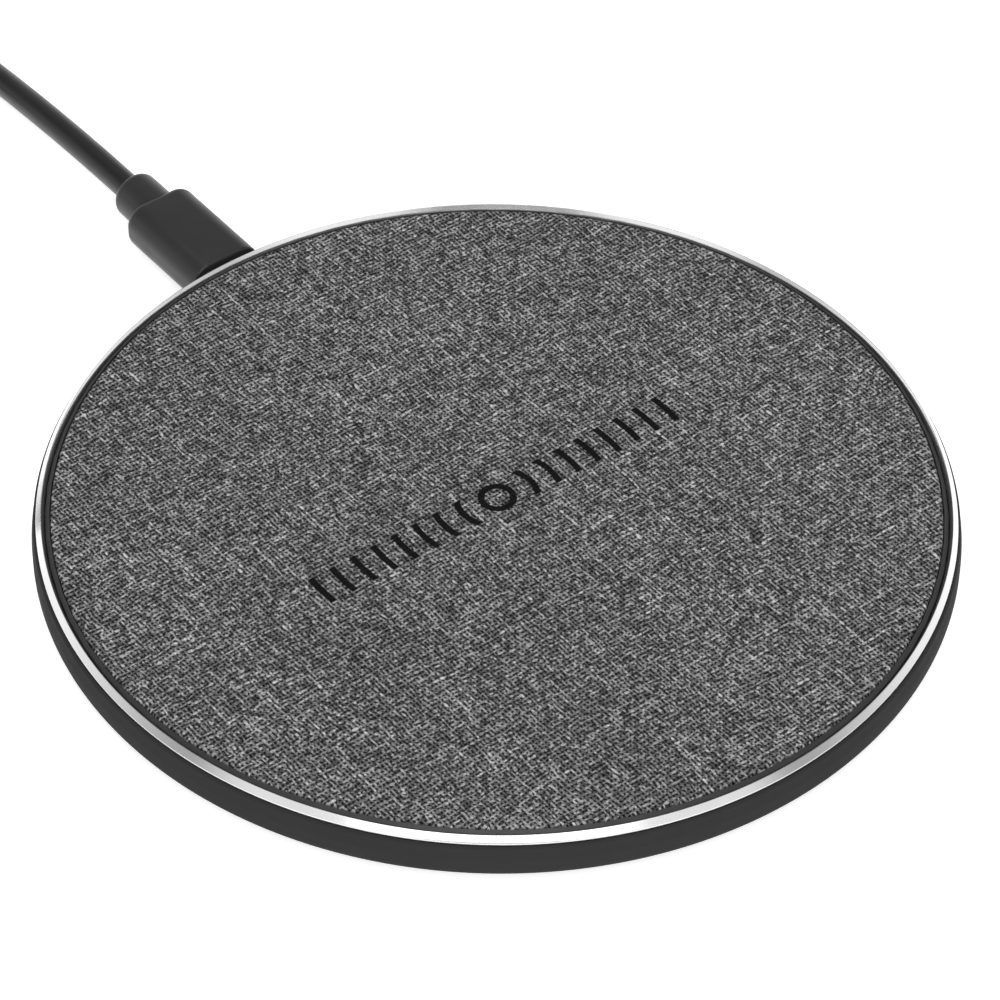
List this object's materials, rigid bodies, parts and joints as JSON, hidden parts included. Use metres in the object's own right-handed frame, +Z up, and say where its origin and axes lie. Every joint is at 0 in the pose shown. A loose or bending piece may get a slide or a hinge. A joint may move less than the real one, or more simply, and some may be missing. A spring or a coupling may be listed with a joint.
{
  "type": "wireless charging pad",
  "caption": "Round fabric-topped wireless charging pad with a bright trim ring and a plug-in cable that pulls out of its side socket.",
  "frame": {"origin": "middle of the pad, on the surface that its silicone ring rests on", "axes": "+Z up out of the charging face, +Y out of the socket along the plug and cable, +X to the right of the socket"},
  "size_m": [0.1032, 0.2061, 0.0077],
  "materials": {
    "woven_fabric": "plain-weave melange polyester, matte",
    "adhesive_film": "thin laminating film",
    "carrier_plastic": "satin moulded plastic",
    "trim_metal": "turned, diamond-cut and polished",
    "wall_plastic": "fine spark-eroded texture",
    "cover_plastic": "fine moulded texture",
    "silicone": "matte silicone",
    "screw_steel": "zinc-plated",
    "ferrite": "pressed ferrite sheet",
    "foam": "closed-cell foam",
    "litz_copper": "enamelled litz wire",
    "thermistor_bead": "resin-dipped bead",
    "board": "glass-fibre laminate with solder mask",
    "chip_package": "moulded epoxy",
    "capacitor_ceramic": "fired ceramic with tinned ends",
    "inductor_core": "pressed powder core",
    "led_lens": "diffusing resin",
    "clear_plastic": "clear polycarbonate",
    "plated_steel": "nickel-plated sheet",
    "plug_sleeve": "satin moulded elastomer",
    "inner_mould": "black moulded plastic",
    "cord_jacket": "satin elastomer jacket",
    "tie": "plastic-coated twist tie",
    "insulator": "moulded insulator",
    "gold_contact": "gold-plated contact"
  },
  "bodies": {
    "pad": {"fabric_top": "woven_fabric", "fabric_adhesive": "adhesive_film", "top_panel": "carrier_plastic", "trim_ring": "trim_metal", "housing": "wall_plastic", "bottom_cover": "cover_plastic", "antislip_ring": "silicone", "cover_screw_1": "screw_steel", "cover_screw_2": "screw_steel", "cover_screw_3": "screw_steel", "cover_screw_4": "screw_steel", "ferrite_plate": "ferrite", "ferrite_foam": "foam", "transmitter_coil": "litz_copper", "coil_thermistor": "thermistor_bead", "circuit_board": "board", "usb_socket_shell": "plated_steel", "usb_socket_tongue": "insulator", "controller_chip": "chip_package", "bridge_mosfet_1": "chip_package", "bridge_mosfet_2": "chip_package", "bridge_mosfet_3": "chip_package", "bridge_mosfet_4": "chip_package", "resonant_capacitor_1": "capacitor_ceramic", "resonant_capacitor_2": "capacitor_ceramic", "resonant_capacitor_3": "capacitor_ceramic", "resonant_capacitor_4": "capacitor_ceramic", "power_inductor": "inductor_core", "input_capacitor_1": "capacitor_ceramic", "input_capacitor_2": "capacitor_ceramic", "status_led": "led_lens", "light_pipe": "clear_plastic"},
    "cable": {"plug_shell": "plated_steel", "plug_inner_mould": "inner_mould", "plug_overmould": "plug_sleeve", "plug_strain_relief": "plug_sleeve", "cord": "cord_jacket", "cord_coil": "cord_jacket", "cord_far_end": "cord_jacket", "cable_tie": "tie", "charger_plug_relief": "plug_sleeve", "charger_plug_overmould": "plug_sleeve", "charger_plug_shell": "plated_steel", "charger_plug_insulator": "insulator", "charger_plug_contact_1": "gold_contact", "charger_plug_contact_2": "gold_contact", "charger_plug_contact_3": "gold_contact", "charger_plug_contact_4": "gold_contact"}
  },
  "joints": [
    {"name": "cable_pull", "type": "slide", "parent": "pad", "child": "cable", "axis": [0, 1, 0], "range_m": [0, 0.012]}
  ]
}
